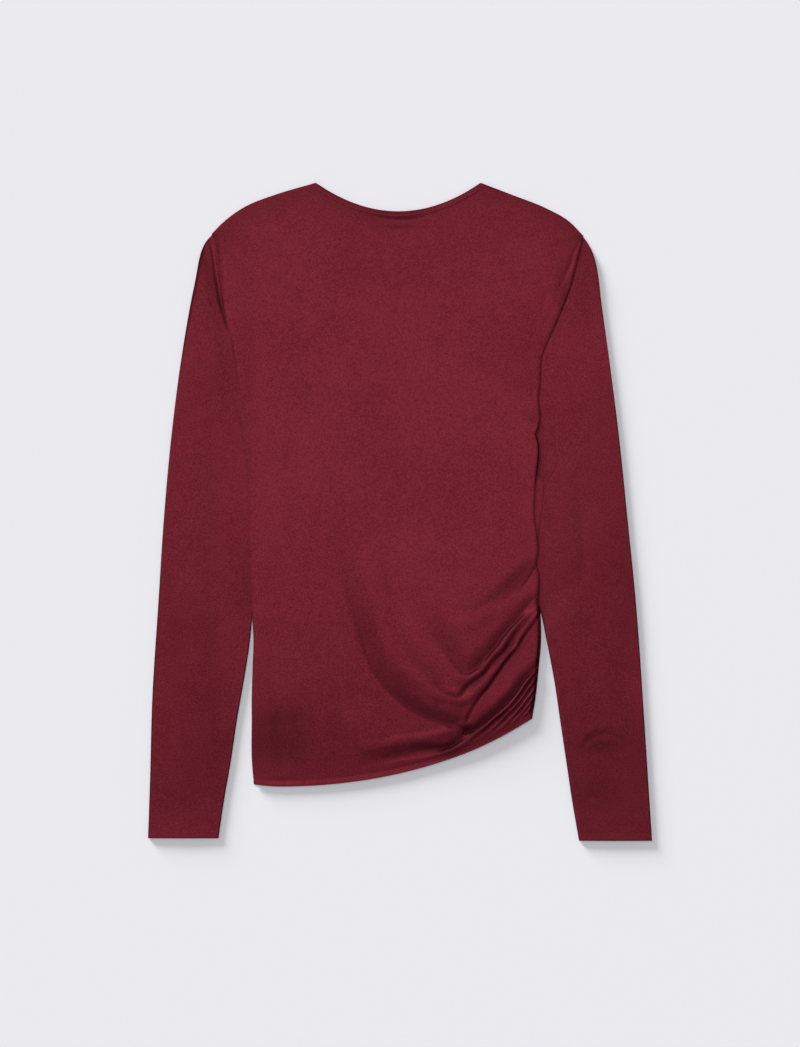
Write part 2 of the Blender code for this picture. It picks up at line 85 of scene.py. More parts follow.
# Folds. Looking along its path, a fold falls gently to the left and steeply to the right.
# gentle and steep are half widths, flat is the half width of a level top, rise and the
# widths may change along the path, and lean is how far the crest leans to its steep side.
Fold = namedtuple("Fold", "name path gentle steep flat rise lean")
gatherFolds = [
    Fold("highSwag", [(137, -74), (124, -88), (110, -94), (94, -102), (78, -109), (59, -114),
        (47, -107), (37, -96), (29, -84), (20, -73)], 12, 12, 0, (0.2, 0.5, 0.6, 0.6, 0.4, 0.0),
        0.5),
    Fold("middleSwag", [(141, -97), (133, -102), (126, -107), (120, -114), (113, -121),
        (107, -129), (101, -137), (95, -143), (92, -148), (89, -153), (84, -159), (77, -164),
        (69, -167), (62, -166), (55, -161), (47, -153), (40, -148), (31, -140), (20, -131),
        (12, -118), (5, -102), (0, -90), (-4, -78)], (8, 9, 9, 11, 14, 15, 15),
        (2.6, 3, 4, 10, 14, 15), 0, (1.0, 1.5, 1.7, 1.6, 1.4, 1.2, 0.8, 0.2), 0.4),
    Fold("longSwag", [(141, -102), (133, -111), (126, -120), (120, -129), (117, -137), (110, -143),
        (104, -151), (98, -159), (91, -167), (85, -175), (78, -181), (70, -188), (62, -191),
        (55, -190), (47, -188), (37, -185), (27, -176), (14, -163), (5, -151), (-4, -139),
        (-9, -126), (-12, -114), (-15, -102), (-18, -90), (-24, -73), (-31, -55), (-35, -41)],
        (4, 4.5, 5, 8, 12, 13, 13, 13), (2.6, 2.8, 5, 12, 16, 18, 20, 20), 0,
        (1.0, 1.5, 1.8, 1.8, 2.0, 2.2, 2.0, 1.4, 0.8, 0.2), 0.4),
    Fold("lowRidge", [(141, -159), (136, -162), (132, -167), (127, -173), (122, -181), (117, -188),
        (112, -194), (106, -200), (101, -204), (94, -209), (88, -215), (82, -220), (75, -225),
        (69, -231), (62, -236), (49, -243), (31, -249), (10, -253), (-10, -257), (-31, -261)],
        (4, 4.5, 5, 6, 7), (2.2, 2.4, 2.6, 4, 6), 0, (1.5, 2.1, 2.2, 1.8, 1.4, 1.0, 0.7, 0.3),
        0.4),
    Fold("pleatRidge", [(65, -216), (53, -222), (39, -226), (20, -230), (2, -232), (-15, -236),
        (-31, -238), (-49, -235)], 8, 7, 0, (1.0, 1.5, 1.5, 1.2, 0.7, 0.0), 0.5),
    Fold("gatherTwo", [(140, -166), (131, -178), (121, -192), (109, -204), (98, -216), (85, -227),
        (77, -233)], 2.6, 2.0, 0, (1.0, 1.3, 1.2, 0.8, 0.2), 0.4),
    Fold("gatherThree", [(140, -176), (130, -188), (120, -201), (107, -215), (94, -227)], 2.6, 2.0,
        0, (1.0, 1.2, 1.0, 0.2), 0.4),
    Fold("gatherFour", [(138, -186), (129, -198), (118, -210), (113, -216)], 2.6, 2.0, 0,
        (0.9, 1.1, 0.3), 0.4),
    Fold("gatherFive", [(137, -195), (132, -200), (127, -206), (123, -211)], 2.6, 2.0, 0,
        (0.8, 0.9, 0.3), 0.4),
    Fold("gatherSix", [(135, -202), (131, -208)], 2.6, 2.0, 0, (0.7, 0.3), 0.4),
]

# Creases are sharp at the bottom. left and right are their reaches to the two sides, and the last
# column is the painted shade: how dark the cloth is painted at the bottom of the crease. A crease of
# depth 0 is only a stroke of painted shade.
Crease = namedtuple("Crease", "name path left right depth tone")
creases = [
    Crease("swagCrease", [(67, -223), (56, -219), (46, -215), (37, -212), (29, -209), (20, -205),
        (10, -199), (0, -191), (-10, -182), (-19, -171), (-29, -155), (-35, -140), (-40, -123),
        (-45, -107), (-49, -91), (-52, -75), (-56, -59), (-60, -39), (-64, -16), (-67, 4)],
        (5, 5, 5, 6, 8, 10, 12), (12, 22, 27, 28, 28, 26, 24, 22),
        (2.0, 2.6, 2.2, 1.6, 1.2, 0.9, 0.6, 0.4, 0.0),
        (0.75, 0.52, 0.56, 0.68, 0.78, 0.84, 0.9, 0.95, 1.0)),
    Crease("bellyCrease", [(133.9, -92.3), (126.9, -100.3), (120.9, -108.3), (113.9, -115.3),
        (107.9, -122.3), (102.9, -128.3), (98.9, -135.3), (94.9, -140.3), (89.9, -145.8),
        (83.9, -150.8), (78.9, -156.3), (73.9, -161.3), (67.9, -164.8), (60.9, -160.3),
        (54.9, -152.3), (48.9, -142.3), (41.9, -130.3), (34.9, -117.3), (27.9, -103.3),
        (19.9, -91.3), (14.9, -79.3)], (2, 2, 2.4, 6, 12, 14), (11, 13, 16, 22, 20, 14),
        (1.0, 1.6, 2.0, 1.8, 1.2, 0.7, 0.3, 0.0), (0.7, 0.68, 0.62, 0.7, 0.78, 0.78, 0.92, 1.0)),
    Crease("longCrease", [(122.9, -115.3), (114.9, -127.3), (106.9, -140.3), (94.9, -152.3),
        (85.9, -164.3), (69.9, -176.3), (57.9, -188.3), (45.9, -183.3), (32.9, -166.3),
        (21.9, -156.3), (14.9, -147.3), (7.9, -137.3), (2.9, -121.3)], (1.8, 2, 2.4, 8, 9),
        (4, 5, 6, 9, 9), (0.6, 1.4, 1.6, 1.4, 0.8, 0.4, 0.0),
        (0.75, 0.55, 0.45, 0.48, 0.78, 0.88, 1.0)),
    Crease("panelCrease", [(143.1, -105.2), (139.9, -109.5), (135.9, -114.8), (131.9, -119.6),
        (127.1, -126.4), (122.3, -133.9), (118.4, -139.5), (114.4, -144.6), (110.4, -149.9),
        (106.4, -154.2), (101.6, -161.8), (97.6, -167.4), (94.5, -172.2), (89.7, -178.6),
        (84.9, -184.1), (80.1, -190.2), (76.1, -196.1), (73.3, -201.7), (70.5, -207.2),
        (68.5, -212.0)], (1.5, 1.5, 1.6, 2.4), (2.4, 2.6, 3, 5), (0.9, 1.3, 1.5, 1.7, 1.4),
        (0.85, 0.6, 0.45, 0.42, 0.6)),
    Crease("deepCrease", [(141.9, -154.3), (136.9, -160.3), (131.9, -165.3), (126.9, -170.3),
        (121.9, -177.3), (117.9, -183.3), (112.9, -189.3), (107.9, -194.3), (101.9, -201.3),
        (94.9, -207.3), (86.9, -214.3), (78.9, -220.3), (70.9, -224.3)], 2, (9, 10, 11, 12, 10),
        (1.6, 2.4, 2.8, 3.0, 2.4), (0.7, 0.55, 0.5, 0.5, 0.55)),
    Crease("fineTwo", [(140.6, -162.9), (131.0, -174.1), (121.4, -187.9), (110.3, -201.2),
        (99.1, -210.7), (86.4, -221.9), (72.0, -233.8)], 1.8, 2.2, (0.8, 1.1, 1.1, 0.9, 0.2),
        (0.6, 0.55, 0.55, 0.7, 1.0)),
    Crease("fineThree", [(139.9, -170.9), (131.0, -182.5), (120.6, -196.4), (108.7, -209.1),
        (95.9, -221.9), (89.6, -227.5)], 1.8, 2.2, (0.8, 1.1, 0.9, 0.2), (0.6, 0.55, 0.6, 1.0)),
    Crease("fineFour", [(139.0, -181.2), (129.4, -193.2), (119.1, -205.9), (107.1, -218.7)], 1.8,
        2.2, (0.8, 1.0, 0.2), (0.6, 0.55, 0.9)),
    Crease("fineFive", [(137.7, -190.0), (127.8, -202.3), (118.3, -213.1)], 1.8, 2.2,
        (0.7, 0.9, 0.2), (0.6, 0.6, 0.9)),
    Crease("fineSix", [(136.1, -198.5), (131.3, -204.2), (127.0, -209.6)], 1.8, 2.2, (0.6, 0.2),
        (0.6, 0.9)),
    Crease("pleatCrease", [(67, -226), (57, -235), (47, -240), (34, -241), (20, -242), (8, -245),
        (-5, -248), (-20, -251), (-35, -252), (-51, -251)], (3, 5, 7, 8), (8, 9, 12, 14),
        (2.2, 2.6, 2.2, 1.6, 0.8, 0.0), (0.8, 0.52, 0.55, 0.62, 0.75, 1.0)),
    Crease("ridgeShade", [(129, -109), (114, -131), (102, -150), (92, -163), (83, -174),
        (71, -180), (61, -175), (53, -167)], 6, 7, 0.0, (0.78, 0.7, 0.66, 0.72, 0.66, 0.7, 1.0)),
    Crease("highCrease", [(137.7, -56.1), (134.2, -62.5), (130.3, -68.8), (126.3, -74.5),
        (122.2, -80.9), (118.6, -86.9)], 1.8, 2.4, (0.8, 1.0, 0.8, 0.0), (0.65, 0.7, 1.0)),
    Crease("highFall", [(133, -57), (122, -66), (114, -73), (107, -80), (99, -87), (88, -94),
        (75, -101), (63, -103)], 11, 13, (0.4, 0.6, 0.5, 0.3, 0.0),
        (0.74, 0.64, 0.68, 0.8, 0.9, 1.0)),
]
softMarks = [
    Fold("backDrift", [(-112, 94), (-102, 12), (-90, -59)], 12, 12, 0, (0.0, -0.35, 0.0), 0),
    Fold("midDrift", [(-15, -44), (-8, -80), (0, -112)], 10, 8, 0, (0.0, -0.4, 0.0), 0),
    Fold("sideDent", [(106, -12), (110, -34)], 8, 8, 0, (-0.3, -0.5, 0.0), 0),
    Fold("lowerLeftDent", [(-121, -196), (-124, -228), (-122, -262)], 10, 10, 0,
        (0.0, -0.8, -0.9, -0.4), 0),
    Fold("hemDent", [(-128, -273), (-113, -273)], 4, 3, 0, (-0.4, -0.4), 0),
    Fold("underarmTuck", [(122, 104), (131, 94), (136, 89)], 4, 3, 0, (0.0, -0.9, -1.0), 0),
    Fold("underarmNip", [(132, 86), (139, 80)], 3, 3, 0, (0.0, -0.9), 0),
    Fold("underarmFall", [(132, 134), (137, 118)], 4, 3, 0, (0.0, -0.7), 0),
    Fold("neckBandOne", [(-34, 303), (-15, 299), (0, 298), (16, 299), (32, 302)], 2.5, 2.5, 0,
        (0.0, -0.5, -0.55, -0.5, 0.0), 0),
    Fold("neckBandTwo", [(-30, 291), (0, 288), (30, 291)], 4, 3, 0, (0.0, -0.35, 0.0), 0),
    Fold("armFold", [(186, 279), (182, 272), (177, 264), (174, 254), (170, 244), (166, 235),
        (162, 228), (159, 214), (155, 200)], 2.5, 3.5, 0,
        (-0.5, -0.7, -0.7, -0.5, -0.4, -0.2, 0.0), 0),
    Fold("armHollow", [(180, 266), (174, 251), (168, 236)], 3, 3, 0, (0.0, -0.6, 0.0), 0),
    Fold("chestNip", [(151, 230), (148, 220), (146, 213), (144, 200)], 2, 2, 0,
        (0.0, -0.45, -0.4, 0.0), 0),
    Fold("leftNip", [(-164, 137), (-157, 142), (-151, 144)], 1.5, 1.5, 0, (-0.6, -0.4, 0.0), 0),
]
leftSleeveFolds = [
    Fold("capHollow", [(-200, 262), (-196, 242), (-192, 221), (-187, 204), (-182, 188),
        (-177, 173)], 8, 6, 0, (0.0, -0.5, -0.7, -0.7, -0.5, 0.0), 0),
    Fold("seamRidge", [(-189.5, 272), (-188.3, 258), (-186.5, 245), (-183.5, 225), (-180, 205),
        (-177, 192)], 2.0, 2.0, 0, (0.3, 0.6, 0.6, 0.5, 0.2), 0),
    Fold("elbowDent", [(-184, -5), (-173, -2)], 4, 4, 0, (-0.4, 0.0), 0),
    Fold("lowDrift", [(-236, -200), (-230, -250)], 10, 10, 0, (0.0, -0.5, 0.0), 0),
    Fold("innerDrift", [(-186, -190), (-183, -240)], 8, 8, 0, (0.0, -0.5, 0.0), 0),
]
leftSleeveCreases = [
    Crease("capSeam", [(-194, 277), (-192, 264), (-190.4, 252), (-188.7, 240), (-186.7, 229.5),
        (-184.6, 216), (-181, 203), (-177.5, 193), (-175.4, 186)], 2.0, 2.2,
        (0.5, 0.8, 1.0, 1.0, 0.8, 0.6), (0.7, 0.5, 0.45, 0.45, 0.5, 0.7)),
    Crease("capShadow", [(-201, 264), (-196, 246), (-190, 228), (-184, 212), (-178, 194),
        (-172, 178)], 7, 5, 0.0, (0.9, 0.84, 0.8, 0.8, 0.84, 1.0)),
]
rightSleeveFolds = [
    Fold("longDrift", [(183, 30), (186, -30), (189, -88)], 9, 7, 0, (0.0, -0.7, -0.6, 0.0), 0),
    Fold("elbowArch", [(184, -246), (192, -232), (206, -227), (222, -231), (238, -244)], 5, 4, 0,
        (0.0, -0.9, -1.1, -0.8, 0.0), 0),
    Fold("elbowRidge", [(180, -236), (200, -219), (226, -220), (243, -232)], 6, 6, 0,
        (0.0, 0.6, 0.6, 0.0), 0),
    Fold("cuffDent", [(184, -288), (204, -294)], 5, 4, 0, (0.0, -0.6, 0.0), 0),
    Fold("cuffNip", [(230, -306), (247, -311)], 4, 3, 0, (0.0, -0.6, 0.0), 0),
]

# Painted light and shade: how light the cloth is painted, from the shoulders down, and in single soft
# patches, standing in for the fall of the light and the shading of the folds.
ToneRow = namedtuple("ToneRow", "y body left right")
paintedShadingRows = [ToneRow(*row) for row in (
    (216.0, 1.00, 0.92, 0.84), (160.0, 1.00, 0.93, 0.91), (94.0, 0.98, 0.91, 0.85),
    (12.0, 0.97, 0.90, 0.80), (-49.0, 0.95, 0.86, 0.73), (-110.0, 0.88, 0.76, 0.71),
    (-151.0, 0.84, 0.75, 0.72), (-192.0, 0.76, 0.74, 0.69), (-233.0, 0.70, 0.72, 0.62),
    (-273.0, 0.72, 0.71, 0.60), (-324.0, 0.72, 0.75, 0.67),
)]
# Patches of painted light and shade: the painted shading is reached in the middle; square 1 is a round
# patch, 2 a rather square and even one
Patch = namedtuple("Patch", "name x y across up tone square")
bodyLightAndShade = [
    Patch("gatherSide", 100, -110, 120, 150, 0.94, 1),
    Patch("gatherLight", 92, -178, 90, 55, 1.22, 1),
    Patch("cornerLight", 128, -196, 26, 24, 1.26, 1),
    Patch("foldLight", -42, -204, 34, 28, 1.15, 1),
    Patch("foldEnd", 58, -207, 17, 19, 0.68, 1),
    Patch("foldEndLight", 67.5, -222.5, 6, 6, 1.6, 1),
    Patch("valleyShade", 1, -167, 12, 12, 0.80, 1),
    Patch("ridgeShade", 82, -155, 12, 12, 0.56, 1),
    Patch("foldLightHigh", -31, -152, 13, 34, 1.15, 1),
    Patch("hemDark", 48, -244, 40, 11, 0.72, 1),
    Patch("lowerLeft", -122, -226, 41, 38, 0.74, 2),
    Patch("leftStreak", -121, -238, 9, 30, 0.86, 1),
    Patch("edgeStreak", -147, -238, 8, 36, 0.90, 1),
    Patch("hemDash", -120, -273, 6, 3, 0.70, 1),
    Patch("neckEdge", -2, 306, 58, 5, 0.78, 1),
    Patch("neckBand", -2, 300, 42, 6, 0.74, 1),
    Patch("neckBandLow", -2, 290, 34, 5, 0.85, 1),
    Patch("armDark", 165, 228, 12, 40, 0.74, 1),
    Patch("leftCapLine", -186, 258, 4, 30, 0.52, 1),
    Patch("leftSide", -158, 110, 18, 200, 0.88, 1),
    Patch("sideDark", 136, 96, 10, 14, 0.84, 1),
]
leftSleeveLightAndShade = [
    Patch("lowElbow", -180, -232, 26, 16, 0.90, 1),
    Patch("innerLight", -164, 22, 30, 120, 1.20, 1),
    Patch("innerLow", -168, -140, 24, 100, 1.20, 1),
    Patch("innerStrip", -184, -70, 16, 240, 1.07, 1),
    Patch("outerShade", -236, 0, 16, 200, 0.90, 1),
]
rightSleeveLightAndShade = [
    Patch("elbowArch", 204, -236, 42, 14, 0.74, 1),
    Patch("capShade", 186, 240, 14, 50, 0.88, 1),
    Patch("outerLow", 244, -186, 14, 60, 1.20, 1),
    Patch("outerTop", 214, 60, 14, 80, 1.05, 1),
    Patch("innerShade", 182, -20, 22, 150, 0.94, 1),
    Patch("lowShade", 196, -286, 44, 26, 0.86, 1),
]
# painted shade: how much steep cloth, the top edge and the edges are darkened in the colour, and how
# much the hem is painted lighter
paintedShadeAmounts = {
    "steep": 0.86, "start": 0.04, "range": 0.24, "topShade": 0.30, "topReach": 24.0,
    "hemLight": 0.14, "edgeLine": 0.28, "edgeReach": 1.1,
}

# Heights. A free edge of the back rests on the front, an edge by a sleeve lies over it.
relief = {
    "backThickness": 0.7, "frontThickness": 0.6, "sleeveThickness": 0.6,
    "freeEdge": 2.6, "hemEdge": 4.2, "overEdge": 2.15, "edgeBlend": 8.0,
    "inside": 3.4, "quickReach": 2.6, "puff": 0.9, "puffReach": 42.0,
    "armDrop": 0.75, "armReach": 30.0,
    "peekLift": 1.45, "peekEdge": 2.85, "rollWidth": 1.3, "rollReach": 13.0,
    "gatherCentre": (92.0, -168.0), "gatherReach": (122.0, 122.0), "gatherRise": 4.2,
    "seamShare": 0.4, "seamReach": 4.5, "hemShare": 0.5, "hemReach": 8.0,
    "frontShare": 0.3, "frontStart": 2.6,
    "driftHeight": 0.14, "driftSeed": 7, "driftWaves": 14, "driftSize": 55.0,
    "driftReach": 25.0, "hemBlend": 8.0, "markReach": 5.0, "peekBlend": 8.0,
    "seamGroove": 0.25, "pathSamples": 110,
}
rollRows = [(-120.0, 0.0), (-100.0, 0.9), (-20.0, 1.1), (20.0, 1.2), (36.0, 2.2), (76.0, 2.2),
            (92.0, 1.2), (130.0, 0.6), (165.0, 0.3), (200.0, 1.0), (265.0, 1.0),
            (285.0, 0.0)]                              # how far the right edge rolls up, by y
hems = {"neck": 6.4, "hem": 5.0, "cuff": 5.0, "thick": 0.22, "groove": 0.3, "grooveWidth": 0.7}


def smoothCurve(points):
    # smooth through all the points, read from 0 to 1
    points = np.array(points, float)
    steps = np.linalg.norm(np.diff(points, axis=0), axis=1)
    knots = np.concatenate([[0.0], np.cumsum(steps)]) / steps.sum()
    slopes = np.gradient(points, knots, axis=0)

    def curve(t):
        t = np.clip(np.asarray(t, float), 0.0, 1.0)
        low = np.clip(np.searchsorted(knots, t, side="right") - 1, 0, len(knots) - 2)
        span = knots[low + 1] - knots[low]
        f = ((t - knots[low]) / span)[..., None]
        span = span[..., None]
        a, b = points[low], points[low + 1]
        return ((2 * f**3 - 3 * f**2 + 1) * a + (f**3 - 2 * f**2 + f) * span * slopes[low]
                + (3 * f**2 - 2 * f**3) * b + (f**3 - f**2) * span * slopes[low + 1])

    return curve


def byHeight(rows, stops):
    # a side curve through rows of (y, x); stops are (share, y) from bottom to top
    fine = smoothCurve([(x, y) for y, x in rows])(np.linspace(0.0, 1.0, 1500))
    stopShares, stopHeights = np.array(stops).T

    def at(share):
        y = np.interp(share, stopShares, stopHeights)
        x = np.interp(-y, -fine[:, 1], fine[:, 0])
        return np.stack([x, y], axis=-1)

    return at


def smoothstep(value):
    value = np.clip(value, 0.0, 1.0)
    return value * value * (3.0 - 2.0 * value)


def topEdge(drop):
    leftEnd, rightEnd = shoulderLeft[-1][0], shoulderRight[-1][0]
    fine = np.linspace(0.0, 1.0, 400)
    left = smoothCurve(shoulderLeft)(fine)[::-1]
    right = smoothCurve(shoulderRight)(fine)

    def at(share):
        x = leftEnd + (rightEnd - leftEnd) * np.asarray(share, float)
        across = np.clip(np.abs(x - cut["neckCentre"]) / cut["neckHalf"], 0.0, 1.0)
        y = cut["neckY"] - drop * (1.0 - across**2)
        y = np.where(x < left[-1, 0], np.interp(x, left[:, 0], left[:, 1]), y)
        y = np.where(x > right[0, 0], np.interp(x, right[:, 0], right[:, 1]), y)
        return np.stack([x, y], axis=-1)

    return at


def hemEdge(share):
    fine = smoothCurve(hemLine)(np.linspace(0.0, 1.0, 500))
    x = hemLine[0][0] + (hemLine[-1][0] - hemLine[0][0]) * np.asarray(share, float)
    return np.stack([x, np.interp(x, fine[:, 0], fine[:, 1])], axis=-1)


def fillEdges(bottom, top, left, right, u, v):
    # points of a patch between four edge curves, for lists of u and v
    u1, v1 = u[:, None], v[:, None]
    corners = ((1 - u1) * ((1 - v1) * left(0.0) + v1 * left(1.0))
               + u1 * ((1 - v1) * right(0.0) + v1 * right(1.0)))
    return ((1 - v1) * bottom(u) + v1 * top(u) + (1 - u1) * left(v) + u1 * right(v) - corners)


def spacedShares(length, steps):
    # 0 to 1, with the step size read from rows of (position, step)
    spots = [0.0]
    at, size = np.array(steps, float).T
    while spots[-1] < length:
        spots.append(spots[-1] + np.interp(spots[-1], at, size))
    return np.array(spots) / spots[-1]


def alongPath(values, share):
    # values spread evenly over the path, blended smoothly
    values = np.atleast_1d(np.array(values, float))
    if len(values) == 1:
        return np.full_like(share, values[0])
    place = share * (len(values) - 1)
    low = np.clip(place.astype(int), 0, len(values) - 2)
    return values[low] + (values[low + 1] - values[low]) * smoothstep(place - low)


class Path:
    # for points near a path: which they are, how far aside, and how far along

    def __init__(self, points, xy, reach, shift=None):
        samples = relief["pathSamples"]
        shares = np.linspace(0.0, 1.0, samples)
        base = smoothCurve(points)(shares)
        tangent = np.gradient(base, axis=0)
        tangent /= np.linalg.norm(tangent, axis=1)[:, None]
        normal = np.stack([-tangent[:, 1], tangent[:, 0]], axis=1)
        if shift is not None:
            base = base + shift(shares)[:, None] * normal
        low, high = base.min(axis=0) - reach, base.max(axis=0) + reach
        self.near = np.flatnonzero(((xy > low) & (xy < high)).all(axis=1))
        gap = xy[self.near, None, :] - base[None, :, :]
        best = (gap**2).sum(axis=2).argmin(axis=1)
        gap = gap[np.arange(len(best)), best]
        ahead = (gap * tangent[best]).sum(axis=1)
        self.aside = (gap * normal[best]).sum(axis=1)
        step = np.linalg.norm(np.diff(base, axis=0), axis=1).mean()
        self.share = np.clip(shares[best] + ahead / step / (samples - 1), 0.0, 1.0)
        ends = (best == 0) & (ahead < 0) | (best == samples - 1) & (ahead > 0)
        self.away = np.hypot(self.aside, np.where(ends, ahead, 0.0))
        self.normal = normal[best]


def addFold(fold, xy, height, shift):
    # adds one fold's height and sideways lean to the points near it
    top = np.abs(np.atleast_1d(fold.rise)).max()
    path = Path(fold.path, xy, max(np.max(fold.gentle), np.max(fold.steep)) + 1.0,
                lambda share: fold.lean / top * alongPath(fold.rise, share))
    width = np.where(path.aside > 0, alongPath(fold.gentle, path.share),
                     alongPath(fold.steep, path.share))
    bend = np.clip((path.away - fold.flat) / (width - fold.flat), 0, 1)
    bump = alongPath(fold.rise, path.share) * np.cos(0.5 * np.pi * bend) ** 1.6
    height[path.near] += bump
    shift[path.near] -= (fold.lean / top * bump)[:, None] * path.normal


def addCrease(crease, xy, height, tone):
    path = Path(crease.path, xy, max(np.max(crease.left), np.max(crease.right)) + 1.0)
    width = np.where(path.aside > 0, alongPath(crease.left, path.share),
                     alongPath(crease.right, path.share))
    reach = np.sqrt(path.away**2 + 0.35**2) / width
    height[path.near] -= alongPath(crease.depth, path.share) * np.clip(1.0 - reach, 0, 1) ** 1.8
    # painted shade: the cloth is darkened towards the bottom of the crease
    dark = 1.0 - alongPath(crease.tone, path.share)
    tone[path.near] *= 1.0 - dark * np.cos(0.5 * np.pi * np.clip(reach, 0, 1) ** 1.7) ** 2


def rimTree(points):
    tree = KDTree(len(points))
    for i, (x, y) in enumerate(points):
        tree.insert((x, y, 0.0), i)
    tree.balance()
    return tree


def rimDistance(tree, xy):
    return np.array([tree.find((x, y, 0.0))[2] for x, y in xy])


def drift(xy, waves, size, seed):
    # slow uneven waves, the same on every run
    random = np.random.default_rng(seed)
    total = np.zeros(len(xy))
    for _ in range(waves):
        angle = random.uniform(0, math.pi)
        length = random.uniform(0.7, 2.2) * size
        wave = (xy[:, 0] * math.cos(angle) + xy[:, 1] * math.sin(angle)) * 2 * math.pi / length
        total += np.sin(wave + random.uniform(0, 2 * math.pi))
    return total / math.sqrt(waves)


def turnedEdge(distance, depth):
    # a turned edge is a little thicker, with a groove where it is stitched
    band = hems["thick"] * (1.0 - smoothstep((distance - depth) / 0.9))
    return band - hems["groove"] * np.exp(-((distance - depth) / hems["grooveWidth"]) ** 2)


class Panel:
    # one body panel: its edges, and the height of its cloth

    def __init__(self, drop, leftRows, rightRows):
        self.left = self.sideCurve(leftRows + leftHemRows, -100.0, shoulderLeft[-1][1])
        self.right = self.sideCurve(rightRows, -48.0, shoulderRight[-1][1])
        self.top = topEdge(drop)
        fine = np.linspace(0.0, 1.0, 1500)
        neck = self.top(fine)
        inNeck = np.abs(neck[:, 0] - cut["neckCentre"]) < cut["neckHalf"]
        sides = np.concatenate([self.left(fine), self.right(fine)])
        byArm = sides[:, 1] > cut["sleeveFreeY"]
        self.armRim = rimTree(sides[byArm])
        self.freeRim = rimTree(np.concatenate([sides[~byArm], neck[~inNeck]]))
        self.seamRim = rimTree(self.right(fine))
        self.topRim = rimTree(neck)
        self.neckRim = rimTree(neck[inNeck])
        self.hemRim = rimTree(hemEdge(fine))

    def sideCurve(self, rows, gatherTop, tip):
        return byHeight(rows, [(0.0, rows[-1][0]), (0.42, gatherTop), (0.74, cut["underarmY"]),
                               (1.0, tip)])

    def spots(self, u, v):
        return fillEdges(hemEdge, self.top, self.left, self.right, u, v)

    def distances(self, xy):
        return [rimDistance(tree, xy) for tree in
                (self.armRim, self.freeRim, self.neckRim, self.hemRim, self.seamRim)]

    def gathers(self, xy, seam, hem):
        # height and lean of the gathered side, with the painted shade of its creases
        height, shift = np.zeros(len(xy)), np.zeros((len(xy), 2))
        reach = np.hypot(*((xy - relief["gatherCentre"]) / relief["gatherReach"]).T)
        height += relief["gatherRise"] * smoothstep(1.5 * (1.0 - reach))
        for fold in gatherFolds:
            addFold(fold, xy, height, shift)
        tone = np.ones(len(xy))
        for crease in creases:
            addCrease(crease, xy, height, tone)
        fade = relief["seamShare"] + (1 - relief["seamShare"]) \
            * smoothstep(seam / relief["seamReach"])
        fade *= relief["hemShare"] + (1 - relief["hemShare"]) * smoothstep(hem / relief["hemReach"])
        return height * fade, shift * fade[:, None], tone

    def backSurface(self, xy):
        # the upper face of the back
        arm, free, neck, hem, seam = self.distances(xy)
        free = np.minimum(np.minimum(free, neck), hem)
        rim = np.minimum(arm, free)
        over = smoothstep((free - arm) / relief["edgeBlend"] + 0.5)
        low = relief["freeEdge"] + (relief["hemEdge"] - relief["freeEdge"]) \
            * smoothstep(1.0 - hem / relief["hemBlend"])
        edge = low + (relief["overEdge"] - low) * over
        edge += (relief["peekEdge"] - relief["overEdge"]) * peekShare(xy)
        height, shift, tone = self.gathers(xy, seam, hem)
        marks = np.zeros(len(xy))
        for fold in softMarks:
            addFold(fold, xy, marks, shift)
        height += relief["puff"] * smoothstep(rim / relief["puffReach"])
        inside = relief["inside"] - relief["armDrop"] * over * np.exp(-rim / relief["armReach"])
        height += (inside - edge) * (1.0 - np.exp(-rim / relief["quickReach"]))
        rollY, rollHeight = np.array(rollRows).T
        height += np.interp(xy[:, 1], rollY, rollHeight) * (1 - np.exp(-seam / relief["rollWidth"])) \
            * np.exp(-seam / relief["rollReach"])
        height = 0.5 * (height + np.sqrt(height**2 + 0.15)) - 0.19
        height += marks * smoothstep(rim / relief["markReach"])
        height += relief["driftHeight"] * smoothstep(rim / relief["driftReach"]) \
            * drift(xy, relief["driftWaves"], relief["driftSize"], relief["driftSeed"])
        height += turnedEdge(neck, hems["neck"]) + turnedEdge(hem, hems["hem"])
        # painted light and shade: darker down the body and in patches, painted shade along the top
        # edge, painted light along the hem and a thin painted dark line along the edges
        tone *= paintedLightAndShade(xy, "body", bodyLightAndShade)
        tone *= 1.0 - paintedShadeAmounts["topShade"] * np.exp(-rimDistance(self.topRim, xy) / paintedShadeAmounts["topReach"])
        tone *= 1.0 + paintedShadeAmounts["hemLight"] * np.exp(-hem / hems["hem"])
        tone *= 1.0 - paintedShadeAmounts["edgeLine"] * np.exp(-rim / paintedShadeAmounts["edgeReach"])
        return np.column_stack([xy + shift, edge + np.maximum(height, 0.0)]), tone

    def frontSurface(self, xy):
        # the lower face of the front, flat on the table apart from its own gathers
        arm, free, neck, hem, seam = self.distances(xy)
        height, shift, tone = self.gathers(xy, seam, hem)
        lift = relief["frontShare"] * np.maximum(height - relief["frontStart"], 0.0)
        lift = np.maximum(lift, relief["peekLift"] * peekShare(xy) - 0.5 * np.exp(-seam / 0.8))
        for depth, distance in ((hems["neck"], neck), (hems["hem"], hem)):
            lift += relief["seamGroove"] * np.exp(-((distance - depth) / hems["grooveWidth"]) ** 2)
        surface = np.column_stack([xy + shift * smoothstep(lift / 0.5)[:, None], lift])
        # the front's painted light and shade
        return surface, paintedLightAndShade(xy, "body", bodyLightAndShade)


def peekShare(xy):
    # 1 along the right edge where the front shows beside the back
    low, high = peekRows[-1][0] - 2.0, peekRows[0][0] + 2.0
    up = smoothstep((xy[:, 1] - low) / relief["peekBlend"]) \
        * smoothstep((high - xy[:, 1]) / relief["peekBlend"])
    return up * smoothstep((xy[:, 0] - 122.0) / 12.0)


